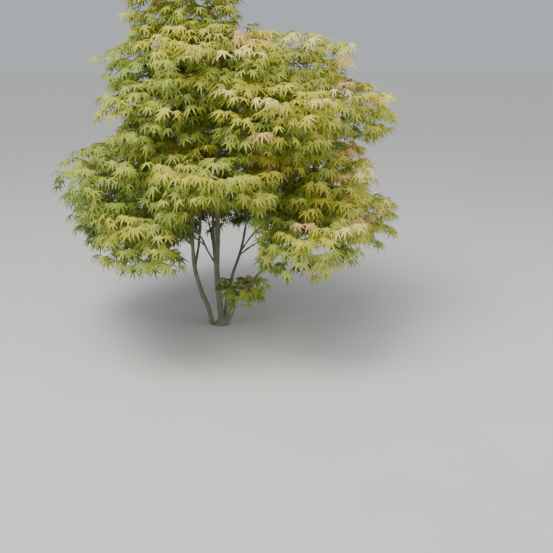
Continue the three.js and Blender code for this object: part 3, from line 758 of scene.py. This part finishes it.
shapes = [leaf_shape(np.random.default_rng(SHAPE_SEED + number)) for number in range(SHAPES)]
leaves_of = {}
stalks_of = {}
for number, mass in enumerate(masses):
    chance = np.random.default_rng(LEAF_SEED + number)
    stalks = stalks_of.setdefault(mass.tier, Skin())
    share = mass.size[0] / SMALLER_LEAVES["full_size"]
    smaller = min(1, SMALLER_LEAVES["least"] + SMALLER_LEAVES["more"] * share)
    for way in shoots_of[mass.name]:
        tint = tint_of(way[-1], mass, chance)
        leaves = leaves_of.setdefault((mass.tier, tint), Skin())
        ahead = (way[-1] - way[1]) * (1, 1, 0)
        outwards = (way[-1] - mass.middle) * (1, 1, 0)
        outwards = outwards / (np.linalg.norm(outwards) + 1e-6) + mass.out * FACING["mass"]
        facing = ahead / (np.linalg.norm(ahead) + 1e-6) + outwards * FACING["outwards"]
        bearing = math.atan2(facing[1], facing[0])
        rim = min(1.0, np.linalg.norm(mass.shares(way[-1])[0][:2]))
        at_rim = np.interp(height_share(way[-1]), (0, 1), (DROOP["low_rim"], DROOP["high_rim"]))
        for place, spread in PAIRS.items():
            steps = range(SHOOT_PARTS + 1)
            joint = np.array([np.interp(place * SHOOT_PARTS, steps, way[:, i]) for i in range(3)])
            for hand in (-1, 1):
                turn = bearing + hand * math.radians(spread + chance.normal(0, LEAF_TURNS["pair"]))
                level = np.array([math.cos(turn), math.sin(turn), 0.0])
                length = LEAF_LENGTH * smaller * chance.uniform(*LENGTH_SCATTER)
                reach = STALK["length"] * chance.uniform(*STALK["scatter"])
                rise = STALK_RISE["inside"] - STALK_RISE["less_at_rim"] * rim
                end = joint + (level + UP * rise) * reach
                sagging = DROOP["inside"] + at_rim * rim + chance.normal(0, LEAF_TURNS["droop"])
                droop = math.radians(sagging)
                turned = turn - hand * math.radians(chance.uniform(0, LEAF_TURNS["inwards"]))
                level = np.array([math.cos(turned), math.sin(turned), 0.0])
                forward = level * math.cos(droop) - UP * math.sin(droop)
                roll = math.radians(chance.normal(0, LEAF_TURNS["roll"]))
                flat_left = np.array([-level[1], level[0], 0.0])
                left = flat_left * math.cos(roll) + np.cross(forward, flat_left) * math.sin(roll)
                over = np.cross(forward, left)
                tip = end + forward * length
                if not mass.holds(tip, JUST_OUTSIDE)[0]:
                    continue
                points, faces = shapes[chance.integers(SHAPES)]
                leaves.add(end + points @ np.stack([forward, left, over]) * length, faces)
                stalks.tube([joint, end], STALK["radii"], STALK["sides"])

stalk_finish = Finish("leaf_stalks", Roughness=0.5)
warm = stalk_finish.grain(stalk_finish.place((1, 1, 1)), 14.0)
stalk_finish.feed("Base Color", stalk_finish.blend(warm, (0.2, 0.19, 0.05), (0.34, 0.12, 0.06)))
for tier_name, skin in stalks_of.items():
    skin.piece(f"{tier_name}_leaf_stalks", stalk_finish.material, "leaf_green", nodes_of[tier_name])
finishes = {tint: leaf_finish(f"leaf_{tint}", colour) for tint, (colour, _) in TINTS.items()}
for (tier_name, tint), skin in leaves_of.items():
    skin.piece(f"{tier_name}_leaves_{tint}", finishes[tint], TINTS[tint][1], nodes_of[tier_name])

# The plain pale floor, soft light from above and both sides, and the camera at standing eye height,
# 3.6 m away, looking down on the plant a little.
FLOOR_REACH, FLOOR_TOP = 30, -0.001  # metres
floor = bpy.data.objects.new("floor", bpy.data.meshes.new("floor"))
corners = [(x * FLOOR_REACH, y * FLOOR_REACH, FLOOR_TOP) for x, y in ((-1, -1), (1, -1), (1, 1), (-1, 1))]
floor.data.from_pydata(corners, [], [(0, 1, 2, 3)])
bpy.context.scene.collection.objects.link(floor)
floor_finish = Finish("floor", Roughness=0.9)
floor_grain = floor_finish.grain(floor_finish.place((1, 1, 1)), 3.0)
floor_finish.feed("Base Color", floor_finish.blend(floor_grain, (0.50, 0.50, 0.49), (0.54, 0.54, 0.53)))
floor.data.materials.append(floor_finish.material)

sky = bpy.data.worlds.new("soft light")
sky.use_nodes = True
sky.node_tree.nodes["Background"].inputs["Color"].default_value = (0.86, 0.93, 1.0, 1)
sky.node_tree.nodes["Background"].inputs["Strength"].default_value = 0.55
bpy.context.scene.world = sky


def soft_light(name, place, aim, width, power, colour):
    lamp = bpy.data.lights.new(name, "AREA")
    lamp.size, lamp.energy, lamp.color = width, power, colour
    light = bpy.data.objects.new(name, lamp)
    light.location = place
    light.rotation_euler = (Vector(aim) - Vector(place)).to_track_quat("-Z", "Y").to_euler()
    bpy.context.scene.collection.objects.link(light)


soft_light("light_above", (-1.2, -1.6, 4.6), (0, 0, 0.9), 2.2, 200, (1.0, 0.97, 0.9))
soft_light("light_left", (-4.0, -2.5, 2.2), (0, 0, 0.9), 2.5, 45, (0.95, 0.98, 1.0))
soft_light("light_right", (4.2, -1.5, 2.4), (0, 0, 0.9), 2.5, 95, (1.0, 0.97, 0.93))

high_sun = bpy.data.lights.new("high_sun", "SUN")
high_sun.energy, high_sun.angle, high_sun.color = 1.6, math.radians(50), (1.0, 0.98, 0.93)
sun = bpy.data.objects.new("high_sun", high_sun)
sun.rotation_euler = (math.radians(28), math.radians(-14), 0)
bpy.context.scene.collection.objects.link(sun)

eye = bpy.data.objects.new("camera", bpy.data.cameras.new("camera"))
eye.data.sensor_width, eye.data.lens = 36.0, 46.3
eye.location = (0.30, -3.64, 1.50)
eye.rotation_euler = (math.radians(90 - 18.6), 0, 0)
bpy.context.scene.collection.objects.link(eye)
bpy.context.scene.camera = eye
